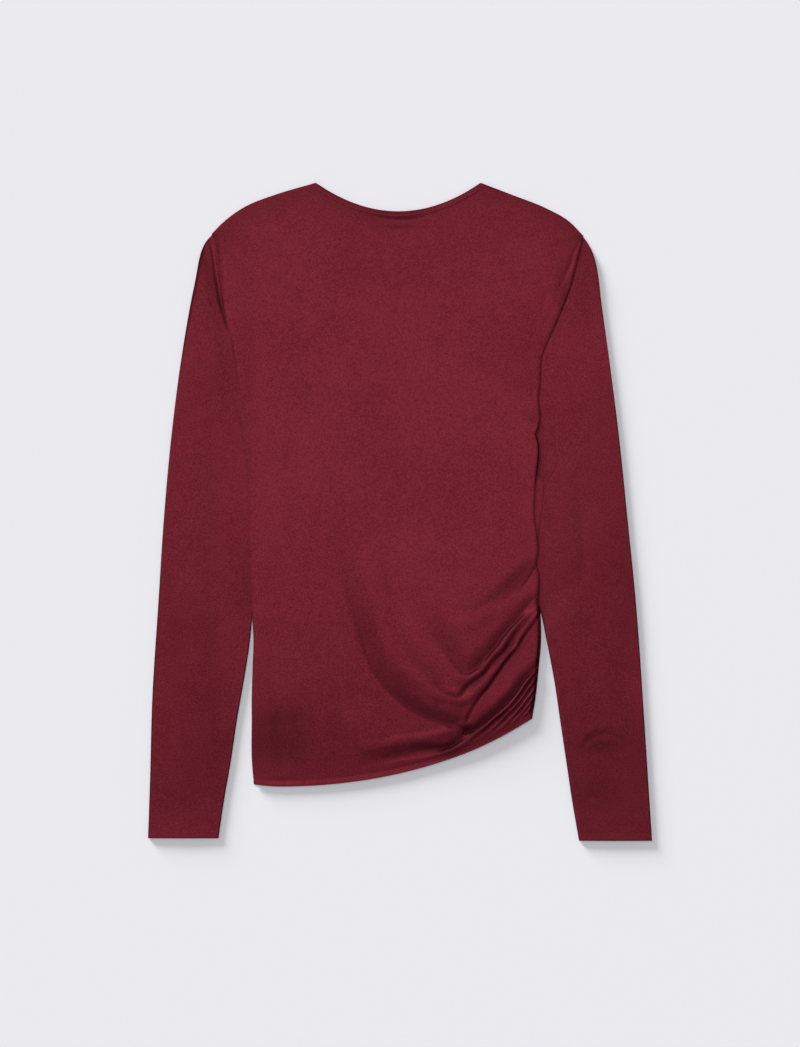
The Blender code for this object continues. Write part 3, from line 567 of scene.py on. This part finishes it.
def paintedLightAndShade(xy, column, patches):
    # painted light and shade: lighter or darker by height down the cloth and in soft patches, standing
    # in for the fall of light and the shading of folds
    y = np.array([row.y for row in paintedShadingRows])
    tone = np.interp(-xy[:, 1], -y, [getattr(row, column) for row in paintedShadingRows])
    for patch in patches:
        away = np.abs((xy - (patch.x, patch.y)) / (patch.across, patch.up))
        away = (away ** (2 * patch.square)).sum(axis=1) ** 0.5
        tone *= 1.0 - (1.0 - patch.tone) * np.cos(0.5 * np.pi * np.clip(away, 0, 1)) ** 2
    return tone


def meshObject(name, points, faces, uv, tone, material, thickness):
    mesh = bpy.data.meshes.new(name)
    mesh.from_pydata((points * mm).tolist(), [], faces)
    layer = mesh.uv_layers.new(name="cloth")
    corners = np.empty(len(mesh.loops), dtype=np.int32)
    mesh.loops.foreach_get("vertex_index", corners)
    layer.data.foreach_set("uv", (uv[corners] * mm).ravel())
    # painted shade: steep cloth is darkened in its colour, standing in for the shade and lost sheen on
    # its slopes; this is stored with the painted light and shade in one attribute
    normals = np.empty(3 * len(points))
    mesh.vertex_normals.foreach_get("vector", normals)
    steep = smoothstep((1.0 - paintedShadeAmounts["start"] - np.abs(normals[2::3])) / paintedShadeAmounts["range"])
    layer = mesh.attributes.new("tone", "FLOAT", "POINT")
    layer.data.foreach_set("value", tone * (1.0 - paintedShadeAmounts["steep"] * steep))
    mesh.shade_smooth()
    mesh.materials.append(material)
    piece = bpy.data.objects.new(name, mesh)
    bpy.context.scene.collection.objects.link(piece)
    wall = piece.modifiers.new("thickness", "SOLIDIFY")
    wall.thickness = thickness * mm
    wall.offset = -1.0
    return piece


def gridFaces(columns, rows, flip):
    faces = []
    for i in range(columns - 1):
        for j in range(rows - 1):
            a, b = i * rows + j, (i + 1) * rows + j
            face = (a, b, b + 1, a + 1)
            faces.append(face[::-1] if flip else face)
    return faces


# Materials
knit = {
    "light": (0.213, 0.0242, 0.0388), "dark": (0.125, 0.0092, 0.0172), "roughness": 0.68,
    "wale": 0.00075, "course": 0.00060, "bump": 0.00012, "bumpStrength": 0.6,
    "sheen": 0.015, "sheenRoughness": 0.45, "sheenTint": (1.0, 0.3, 0.35, 1.0),
    "specular": 0.05, "specularTint": (1.0, 0.4, 0.45, 1.0),
    "specks": 2.3, "blotches": 0.45, "clouds": 0.5, "loops": 0.12, "balance": 1.20,
}


def fillInputs(tree, node, inputs):
    # each input is linked to a socket or set to a value
    for key, value in inputs.items():
        if isinstance(value, bpy.types.NodeSocket):
            tree.links.new(value, node.inputs[key])
        else:
            node.inputs[key].default_value = value


def addNode(tree, kind, inputs=None, **values):
    node = tree.nodes.new(kind)
    for name, value in values.items():
        setattr(node, name, value)
    fillInputs(tree, node, inputs or {})
    return node


def jerseyKnit():
    # fine jersey: rows of small loops, tiny light specks and a slow change of tone
    tree = bpy.data.node_groups.new("jerseyKnit", "ShaderNodeTree")
    for name, kind, default in (
            ("Cloth", "Vector", None), ("Place", "Vector", None),
            ("Light", "Color", (*knit["light"], 1)), ("Dark", "Color", (*knit["dark"], 1)),
            ("Tone", "Float", 1.0), ("Wale", "Float", knit["wale"]),
            ("Course", "Float", knit["course"]), ("Roughness", "Float", knit["roughness"])):
        socket = tree.interface.new_socket(name, in_out="INPUT", socket_type="NodeSocket" + kind)
        if default is not None:
            socket.default_value = default
    for name, kind in (("Color", "Color"), ("Roughness", "Float"), ("Height", "Float")):
        tree.interface.new_socket(name, in_out="OUTPUT", socket_type="NodeSocket" + kind)
    given = addNode(tree, "NodeGroupInput").outputs

    def worked(operation, a, b=0.0):
        return addNode(tree, "ShaderNodeMath", {0: a, 1: b}, operation=operation).outputs[0]

    def noise(scale, detail, rough):
        return addNode(tree, "ShaderNodeTexNoise", {
            "Vector": given["Place"], "Scale": scale, "Detail": detail,
            "Roughness": rough}).outputs["Fac"]

    cloth = addNode(tree, "ShaderNodeSeparateXYZ", {0: given["Cloth"]}).outputs
    across = worked("DIVIDE", cloth["X"], given["Wale"])
    along = worked("DIVIDE", cloth["Y"], given["Course"])
    column = worked("PINGPONG", across, 0.5)               # 0 between wales, 0.5 on a wale
    slant = worked("ADD", along, column)                   # both legs of a loop lean up
    leg = worked("SINE", worked("MULTIPLY", slant, 2 * math.pi))
    wale = worked("SINE", worked("MULTIPLY", column, math.pi))
    loops = worked("MULTIPLY", wale, worked("ADD", worked("MULTIPLY", leg, 0.3), 0.7))
    specks = noise(620.0, 3.0, 0.65)
    mixed = worked("MULTIPLY", specks, knit["specks"])
    for part, share in ((noise(95.0, 3.0, 0.6), knit["blotches"]),
                        (noise(9.0, 2.0, 0.5), knit["clouds"]), (loops, knit["loops"])):
        mixed = worked("ADD", mixed, worked("MULTIPLY", part, share))
    clamp = addNode(tree, "ShaderNodeClamp", {"Value": worked("SUBTRACT", mixed, knit["balance"])})
    blend = addNode(tree, "ShaderNodeMix", data_type="RGBA")
    fillInputs(tree, blend, {"Factor": clamp.outputs[0], "A": given["Dark"], "B": given["Light"]})
    # the colour is scaled by the painted light and shade
    shade = addNode(tree, "ShaderNodeVectorMath", operation="SCALE")
    fillInputs(tree, shade, {0: blend.outputs["Result"], "Scale": given["Tone"]})
    addNode(tree, "NodeGroupOutput", {
        "Color": shade.outputs[0],
        "Roughness": worked("ADD", given["Roughness"], worked("MULTIPLY", loops, -0.06)),
        "Height": worked("ADD", loops, worked("MULTIPLY", specks, 0.6))})
    return tree


def jerseyMaterial(name, group):
    material = bpy.data.materials.new(name)
    material.use_nodes = True
    tree = material.node_tree
    fabric = addNode(tree, "ShaderNodeGroup", {}, node_tree=group)
    # the painted light and shade is read from the piece's attribute
    fillInputs(tree, fabric, {
        "Cloth": addNode(tree, "ShaderNodeUVMap", uv_map="cloth").outputs["UV"],
        "Place": addNode(tree, "ShaderNodeTexCoord").outputs["Object"],
        "Tone": addNode(tree, "ShaderNodeAttribute", attribute_name="tone").outputs["Fac"]})
    bump = addNode(tree, "ShaderNodeBump", {
        "Distance": knit["bump"], "Strength": knit["bumpStrength"],
        "Height": fabric.outputs["Height"]})
    fillInputs(tree, tree.nodes["Principled BSDF"], {
        "Sheen Weight": knit["sheen"], "Sheen Roughness": knit["sheenRoughness"],
        "Sheen Tint": knit["sheenTint"], "Specular IOR Level": knit["specular"],
        "Specular Tint": knit["specularTint"], "Base Color": fabric.outputs["Color"],
        "Roughness": fabric.outputs["Roughness"], "Normal": bump.outputs["Normal"]})
    return material


def plainMaterial(name, color, roughness):
    material = bpy.data.materials.new(name)
    material.use_nodes = True
    tree = material.node_tree
    fillInputs(tree, tree.nodes["Principled BSDF"],
               {"Base Color": (*color, 1.0), "Roughness": roughness})
    return material


knitGroup = jerseyKnit()
bodyJersey = jerseyMaterial("bodyJersey", knitGroup)
sleeveJersey = jerseyMaterial("sleeveJersey", knitGroup)
print("materials made")

# Camera and studio
studio = {
    "centre": (0.0, -0.0117), "viewHeight": 1.068, "lens": 85.0,
    "floor": (0.80, 0.793, 0.826), "floorHalf": 9.0, "floorTop": -0.0004,
    "air": (0.97, 0.97, 1.0, 1.0), "ambient": 0.27,
    "key": {"from": (-0.06, 0.16, 0.98), "power": 1.16, "softness": 22.0},
    "rake": {"from": (-0.60, 0.76, 0.26), "power": 4.9, "softness": 22.0},
}
camera = bpy.data.objects.new("camera", bpy.data.cameras.new("camera"))
bpy.context.scene.collection.objects.link(camera)
camera.data.lens = studio["lens"]
camera.data.sensor_width = 36.0
camera.location = (*studio["centre"], studio["viewHeight"] * studio["lens"] / 36.0)
bpy.context.scene.camera = camera
bpy.context.scene.view_settings.view_transform = "Standard"

for name in ("key", "rake"):
    light = bpy.data.objects.new(name + "Light", bpy.data.lights.new(name + "Light", "SUN"))
    light.data.angle = math.radians(studio[name]["softness"])
    light.data.energy = studio[name]["power"]
    light.rotation_euler = Vector(studio[name]["from"]).to_track_quat("Z", "Y").to_euler()
    bpy.context.scene.collection.objects.link(light)
world = bpy.data.worlds.new("studioAir")
world.use_nodes = True
world.node_tree.nodes["Background"].inputs["Color"].default_value = studio["air"]
world.node_tree.nodes["Background"].inputs["Strength"].default_value = studio["ambient"]
bpy.context.scene.world = world

floorMesh = bpy.data.meshes.new("floor")
half, top = studio["floorHalf"], studio["floorTop"]
floorMesh.from_pydata([(-half, -half, top), (half, -half, top), (half, half, top),
                       (-half, half, top)], [], [(0, 1, 2, 3)])
floorMesh.materials.append(plainMaterial("floorPaint", studio["floor"], 0.9))
floor = bpy.data.objects.new("floor", floorMesh)
bpy.context.scene.collection.objects.link(floor)
print("studio set")

# Body panels
bodyGrid = {
    "width": 300.0, "height": 560.0, "neckLeft": 0.2797, "neckRight": 0.7221,
    "across": [(0, 0.5), (2, 0.8), (8, 3.8), (92, 3.8), (108, 1.4), (290, 1.35), (297, 0.7),
               (300, 0.4)],
    "up": [(0, 0.4), (3, 0.8), (9, 1.45), (225, 1.45), (250, 3.6), (530, 3.6), (546, 1.4),
           (557, 0.8), (560, 0.4)],
}
frontGrid = {
    "width": 300.0, "height": 560.0,
    "across": [(0, 0.6), (3, 1.5), (12, 6.0), (118, 6.0), (140, 3.4), (285, 3.4), (297, 1.0),
               (300, 0.6)],
    "up": [(0, 0.6), (3, 1.2), (9, 3.0), (225, 3.4), (260, 6.0), (530, 6.0), (546, 2.0),
           (557, 1.0), (560, 0.6)],
}


def makePanel(name, panel, surface, grid, thickness, flip):
    u = spacedShares(grid["width"], grid["across"])
    v = spacedShares(grid["height"], grid["up"])
    for corner in (bodyGrid["neckLeft"], bodyGrid["neckRight"]):
        u[np.abs(u - corner).argmin()] = corner
    uu, vv = [a.ravel() for a in np.meshgrid(u, v, indexing="ij")]
    flat = panel.spots(uu, vv)
    faces = gridFaces(len(u), len(v), flip)
    points, tone = surface(flat)
    return meshObject(name, points, faces, flat, tone, bodyJersey, thickness)


back = Panel(cut["backDrop"], [(row.y, row.left) for row in bodyRows],
             [(row.y, row.right) for row in bodyRows])
inset = cut["frontInset"]
peekTop, peekBottom = peekRows[0][0], peekRows[-1][0]
front = Panel(cut["frontDrop"],
              [(row.y, row.left + inset * (row.y > cut["sleeveFreeY"])) for row in bodyRows],
              [(row.y, row.right - inset * (row.y > cut["sleeveFreeY"])) for row in bodyRows
               if row.y > peekTop] + peekRows
              + [(row.y, row.right - inset * (row.y > cut["sleeveFreeY"])) for row in bodyRows
                 if row.y < peekBottom])
backPiece = makePanel("backPiece", back, back.backSurface, bodyGrid, relief["backThickness"],
                      False)
print("back made")
frontPiece = makePanel("frontPiece", front, front.frontSurface, frontGrid,
                       relief["frontThickness"], True)
print("front made")

# Sleeves
sleeveForm = {
    "innerRadius": 0.65, "freeRadius": 1.9, "outerRadius": {"left": 1.6, "right": 2.2},
    "cuffRadius": 2.0, "endReach": 25.0, "puff": 1.3, "cuffPuff": 0.5, "edgeWidth": 0.5,
    "slope": 80.0, "lip": {"left": 0.0, "right": 0.4}, "freeReach": 30.0, "cuffReach": 60.0,
    "puffReach": 24.0, "rimStart": 0.9, "driftSize": 50.0, "driftReach": 15.0,
    "topColumns": 62, "bottomColumns": 16, "bends": 7, "length": 600.0,
    "along": [(0, 0.5), (3, 1.0), (10, 3.4), (470, 3.2), (585, 2.4), (596, 0.9), (600, 0.4)],
}


def innerEdge(column, sign):
    # the sleeve's inner edge from shoulder to cuff, tucked under the body's edge
    rows = []
    for row in bodyRows:
        if row.y > cut["sleeveFreeY"]:
            x = getattr(row, column) - sign * cut["tuck"]
            if sign > 0 and peekBottom < row.y < peekTop:
                ys, xs = np.array(peekRows[::-1]).T
                x = max(x, float(np.interp(row.y, ys, xs)) - cut["peekTuck"])
            rows.append((row.y, x))
    return rows + [(row.y, getattr(row, column)) for row in innerRows]


def makeSleeve(name, column, folds, creases, patches):
    sign = -1.0 if column == "left" else 1.0
    rows = innerEdge(column, sign)
    outerSide = [(row.y, getattr(row, column)) for row in outerRows]
    tip = (shoulderLeft if sign < 0 else shoulderRight)[-1][1]
    armhole = byHeight(rows, [(0.0, cut["underarmY"]), (1.0, tip)])
    inner = byHeight(rows, [(0.0, cut["cuffY"][column]), (1.0, cut["underarmY"])])
    outer = byHeight(outerSide, [(0.0, cut["cuffY"][column]), (1.0, tip)])
    cuffIn, cuffOut = inner(0.0)[0], outer(0.0)[0]

    def cuff(share):
        x = cuffIn + (cuffOut - cuffIn) * np.asarray(share, float)
        return np.stack([x, np.full_like(x, cut["cuffY"][column])], axis=-1)

    form = sleeveForm
    v = spacedShares(form["length"], form["along"])
    even = np.linspace(0.0, 1.0, 21)
    uu, vv = [a.ravel() for a in np.meshgrid(even, v, indexing="ij")]
    lines = fillEdges(cuff, armhole, inner, outer, uu, vv).reshape(len(even), len(v), 2)
    widths = np.linalg.norm(np.diff(lines, axis=0), axis=2).sum(axis=0)
    fromCuff, fromArm = v * form["length"], (1 - v) * form["length"]
    outerR = form["innerRadius"] + (form["outerRadius"][column] - form["innerRadius"]) \
        * smoothstep(fromArm / form["endReach"])
    outerR = np.minimum(outerR, form["cuffRadius"] + smoothstep(fromCuff / form["cuffReach"]))
    free = smoothstep((cut["sleeveFreeY"] - inner(v)[:, 1]) / form["freeReach"])
    innerR = form["innerRadius"] + (form["freeRadius"] - form["innerRadius"]) * free
    innerWidth = innerR * (1.0 - (1.0 - form["edgeWidth"]) * free)
    turn = np.linspace(0.0, math.pi, form["bends"] + 2)[1:-1]
    bottom = np.linspace(0.0, 1.0, form["bottomColumns"])
    across = np.linspace(0.0, 1.0, form["topColumns"])
    top = (0.65 * across + 0.35 * (0.5 - 0.5 * np.cos(math.pi * across)))[::-1]
    ringU, edge, arc = [], [], []
    for width, rIn, wIn, rOut in zip(widths, innerR, innerWidth, outerR):
        a = wIn / width
        b = 1.0 - rOut * form["edgeWidth"] / width
        ringU.append(np.concatenate([a + (b - a) * bottom, b + (1 - b) * np.sin(turn),
                                     a + (b - a) * top, a - a * np.sin(turn)]))
        edge.append(np.concatenate([0 * bottom, rOut - rOut * np.cos(turn), 0 * top,
                                    rIn + rIn * np.cos(turn)]))
        arc.append(np.concatenate([bottom, 1 + 0 * turn, 2 - top, 2 + 0 * turn]) * width)
    n = len(ringU[0])
    ringU, edge, arc = [np.concatenate(parts) for parts in (ringU, edge, arc)]
    ringV = np.repeat(v, n)
    spots = fillEdges(cuff, armhole, inner, outer, ringU, ringV)
    kind = np.repeat([0, 1, 2, 3], [len(bottom), len(turn), len(top), len(turn)])
    kind = np.tile(kind, len(v))
    fine = np.linspace(0.0, 1.0, 1200)
    innerRim = rimTree(np.concatenate([armhole(fine), inner(fine)]))
    fromInner = rimDistance(innerRim, spots)
    fromCuff = ringV * form["length"]
    side = np.minimum(ringU, 1 - ringU) * np.repeat(widths, n)
    puff = form["cuffPuff"] + (form["puff"] - form["cuffPuff"]) * smoothstep(ringV * 4.0)
    puff *= 0.25 + 0.75 * smoothstep(fromInner / form["puffReach"])
    height, shift = np.zeros(len(spots)), np.zeros((len(spots), 2))
    for fold in folds:
        addFold(fold, spots, height, shift)
    # painted light and shade of the sleeve, with painted shade in its creases
    tone = paintedLightAndShade(spots, column, patches)
    for crease in creases:
        addCrease(crease, spots, height, tone)
    height *= smoothstep(side / 2.5)
    height += puff * np.sin(np.pi * np.clip(ringU, 0, 1)) ** 0.75
    height += relief["driftHeight"] * smoothstep(side / form["driftReach"]) \
        * drift(spots, relief["driftWaves"], form["driftSize"], relief["driftSeed"] + len(name))
    height += turnedEdge(fromCuff, hems["cuff"]) * smoothstep(side / 2.0)
    height *= smoothstep((fromInner - form["rimStart"]) / 1.6)
    outerTop = 2 * np.repeat(outerR, n)
    innerTop = 2 * np.repeat(innerR, n)
    lip = form["lip"][column] * smoothstep((fromInner - form["rimStart"]) / 2.5)
    base = np.maximum(innerTop + (outerTop - innerTop) * smoothstep(fromInner / form["slope"]),
                      innerTop + lip)
    lift = relief["seamGroove"] * np.exp(-((fromCuff - hems["cuff"]) / hems["grooveWidth"]) ** 2)
    z = np.select([kind == 0, kind == 2], [lift * smoothstep(side / 4.0), base + height], edge)
    faces = []
    for r in range(len(v) - 1):
        for k in range(n):
            a, b = r * n + k, r * n + (k + 1) % n
            face = (a, b, b + n, a + n)
            faces.append(face if sign < 0 else face[::-1])
    uv = np.column_stack([arc, ringV * form["length"]])
    return meshObject(name, np.column_stack([spots, z]), faces, uv, tone, sleeveJersey,
                      relief["sleeveThickness"])


sleeveLeft = makeSleeve("sleeveLeftPiece", "left", leftSleeveFolds, leftSleeveCreases,
                        leftSleeveLightAndShade)
sleeveRight = makeSleeve("sleeveRightPiece", "right", rightSleeveFolds, [], rightSleeveLightAndShade)
print("sleeves made")

# Stitches
stitching = {
    "thread": (0.20, 0.026, 0.041), "neckThread": (0.25, 0.045, 0.066), "roughness": 0.62,
    "radius": 0.00018, "jitter": 0.12, "seed": 11, "lift": 0.00008, "lowest": 0.00022,
    "hem": {"inset": 5.0, "spacing": 0.0030, "length": 0.0022, "slant": 0.0},
    "neck": {"inset": 4.6, "spacing": 0.0030, "length": 0.0022, "slant": 0.0},
    "cuff": {"inset": 6.2, "spacing": 0.0021, "length": 0.0030, "slant": 0.85},
}


def stitchRows():
    # a row of stitches along each line: one grain of thread per point, leaning by turns
    tree = bpy.data.node_groups.new("stitchRows", "GeometryNodeTree")
    for name, kind in (("Geometry", "Geometry"), ("Spacing", "Float"), ("Length", "Float"),
                       ("Radius", "Float"), ("Slant", "Float"), ("Jitter", "Float"),
                       ("Seed", "Int"), ("Material", "Material")):
        tree.interface.new_socket(name, in_out="INPUT", socket_type="NodeSocket" + kind)
    tree.interface.new_socket("Geometry", in_out="OUTPUT", socket_type="NodeSocketGeometry")
    given = addNode(tree, "NodeGroupInput").outputs

    def added(kind, inputs, **values):
        return addNode(tree, kind, inputs, **values).outputs

    curve = added("GeometryNodeMeshToCurve", {"Mesh": given["Geometry"]})
    spots = added("GeometryNodeCurveToPoints",
                  {"Curve": curve["Curve"], "Length": given["Spacing"]}, mode="LENGTH")
    order = added("GeometryNodeInputIndex", {})
    turn = added("ShaderNodeMath", {0: order[0], 1: 2.0}, operation="MODULO")
    side = added("ShaderNodeMath", {0: turn[0], 1: 2.0, 2: -1.0}, operation="MULTIPLY_ADD")
    less = added("ShaderNodeMath", {0: given["Jitter"], 1: -1.0}, operation="MULTIPLY")
    uneven = added("FunctionNodeRandomValue",
                   {2: less[0], 3: given["Jitter"], "Seed": given["Seed"]}, data_type="FLOAT")
    angle = added("ShaderNodeMath", {0: side[0], 1: given["Slant"], 2: uneven[1]},
                  operation="MULTIPLY_ADD")
    along = added("FunctionNodeAlignRotationToVector", {"Vector": spots["Tangent"]}, axis="X")
    lean = added("FunctionNodeEulerToRotation",
                 {0: added("ShaderNodeCombineXYZ", {"Z": angle[0]})[0]})
    turned = added("FunctionNodeRotateRotation", {0: along[0], 1: lean[0]},
                   rotation_space="LOCAL")
    half = added("ShaderNodeMath", {0: given["Length"], 1: 0.5}, operation="MULTIPLY")
    size = added("ShaderNodeCombineXYZ",
                 {"X": half[0], "Y": given["Radius"], "Z": given["Radius"]})
    grain = added("GeometryNodeMeshUVSphere", {"Segments": 6, "Rings": 5, "Radius": 1.0})
    shaped = added("GeometryNodeTransform", {"Geometry": grain["Mesh"], "Scale": size[0]})
    copies = added("GeometryNodeInstanceOnPoints", {
        "Points": spots["Points"], "Instance": shaped["Geometry"], "Rotation": turned[0]})
    real = added("GeometryNodeRealizeInstances", {"Geometry": copies["Instances"]})
    finish = added("GeometryNodeSetMaterial",
                   {"Geometry": real["Geometry"], "Material": given["Material"]})
    addNode(tree, "NodeGroupOutput", {0: finish["Geometry"]})
    return tree


def threadMaterial(name, colour):
    material = plainMaterial(name, colour, stitching["roughness"])
    tree = material.node_tree
    twist = addNode(tree, "ShaderNodeTexNoise", {
        "Scale": 900.0, "Vector": addNode(tree, "ShaderNodeTexCoord").outputs["Object"]})
    tint = addNode(tree, "ShaderNodeMix", data_type="RGBA")
    fillInputs(tree, tint, {"Factor": twist.outputs["Fac"], "A": (*[0.7 * c for c in colour], 1.0),
                            "B": (*[1.3 * c for c in colour], 1.0)})
    fillInputs(tree, tree.nodes["Principled BSDF"],
               {"Base Color": tint.outputs["Result"], "Specular IOR Level": 0.1})
    return material


stitchTree = stitchRows()
threadLook = threadMaterial("thread", stitching["thread"])
neckThreadLook = threadMaterial("neckThread", stitching["neckThread"])


def laidOn(piece, line, fromAbove):
    # the line's points moved onto the cloth, from above or from below
    side = 1.0 if fromAbove else -1.0
    spots = []
    for x, y in np.array(line) * mm:
        hit, place, _, _ = piece.ray_cast((x, y, 0.1 * side), (0.0, 0.0, -side))
        if hit:
            z = max(place.z + stitching["lift"] * side, stitching["lowest"])
            spots.append((place.x, place.y, z))
    return spots


def makeStitches(name, rows, kind):
    # rows are lists of points; a modifier turns them into thread
    verts, edges = [], []
    for row in rows:
        edges += [(len(verts) + i, len(verts) + i + 1) for i in range(len(row) - 1)]
        verts += row
    mesh = bpy.data.meshes.new(name + "Line")
    mesh.from_pydata(verts, edges, [])
    piece = bpy.data.objects.new(name, mesh)
    bpy.context.scene.collection.objects.link(piece)
    sizes = stitching[kind]
    values = {"Spacing": sizes["spacing"], "Length": sizes["length"],
              "Radius": stitching["radius"], "Slant": sizes["slant"],
              "Jitter": stitching["jitter"], "Seed": stitching["seed"],
              "Material": neckThreadLook if kind == "neck" else threadLook}
    modifier = piece.modifiers.new("stitches", "NODES")
    modifier.node_group = stitchTree
    for socket in stitchTree.interface.items_tree:
        if socket.in_out == "INPUT" and socket.name in values:
            modifier[socket.identifier] = values[socket.name]
    shown = piece.evaluated_get(bpy.context.evaluated_depsgraph_get())
    made = bpy.data.meshes.new_from_object(shown)
    piece.modifiers.remove(modifier)
    piece.data = made
    made.shade_smooth()
    return piece


def insideLine(edge, inset, centre):
    # a line of points moved inwards from an edge, towards the centre's side
    edge = np.array(edge)
    along = np.gradient(edge, axis=0)
    normal = np.stack([-along[:, 1], along[:, 0]], axis=1)
    normal /= np.linalg.norm(normal, axis=1)[:, None]
    normal *= np.sign(((np.array(centre) - edge) * normal).sum(axis=1))[:, None]
    return edge + inset * normal


def neckLine(panel):
    share = np.linspace(bodyGrid["neckLeft"] + 0.012, bodyGrid["neckRight"] - 0.012, 160)
    return insideLine(panel.top(share), stitching["neck"]["inset"], (0.0, 0.0))


bpy.context.view_layer.update()
hemLineIn = insideLine(hemEdge(np.linspace(0.02, 0.98, 260)), stitching["hem"]["inset"], (0, 0))
stitches = {}
for piece, panel, above in ((backPiece, back, True), (frontPiece, front, False)):
    short = piece.name.replace("Piece", "")
    stitches[piece.name] = [
        makeStitches(short + "HemStitches", [laidOn(piece, hemLineIn, above)], "hem"),
        makeStitches(short + "NeckStitches", [laidOn(piece, neckLine(panel), above)], "neck")]
for piece, rows in ((sleeveLeft, "left"), (sleeveRight, "right")):
    y = cut["cuffY"][rows] + stitching["cuff"]["inset"]
    inner, outer = getattr(innerRows[-1], rows), getattr(outerRows[-1], rows)
    line = [(inner + (outer - inner) * share, y) for share in np.linspace(0.04, 0.96, 60)]
    stitches[piece.name] = [makeStitches(piece.name.replace("Piece", "") + "Stitches",
                                         [laidOn(piece, line, True), laidOn(piece, line, False)],
                                         "cuff")]
print("stitches made")

for piece, node, finish in ((backPiece, "back_panel", "jersey_body"),
                            (frontPiece, "front_panel", "jersey_body"),
                            (sleeveLeft, "sleeve_left", "jersey_sleeves"),
                            (sleeveRight, "sleeve_right", "jersey_sleeves")):
    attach(piece, "root")
    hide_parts(node)
    for row in stitches[piece.name]:
        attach(row, "root")
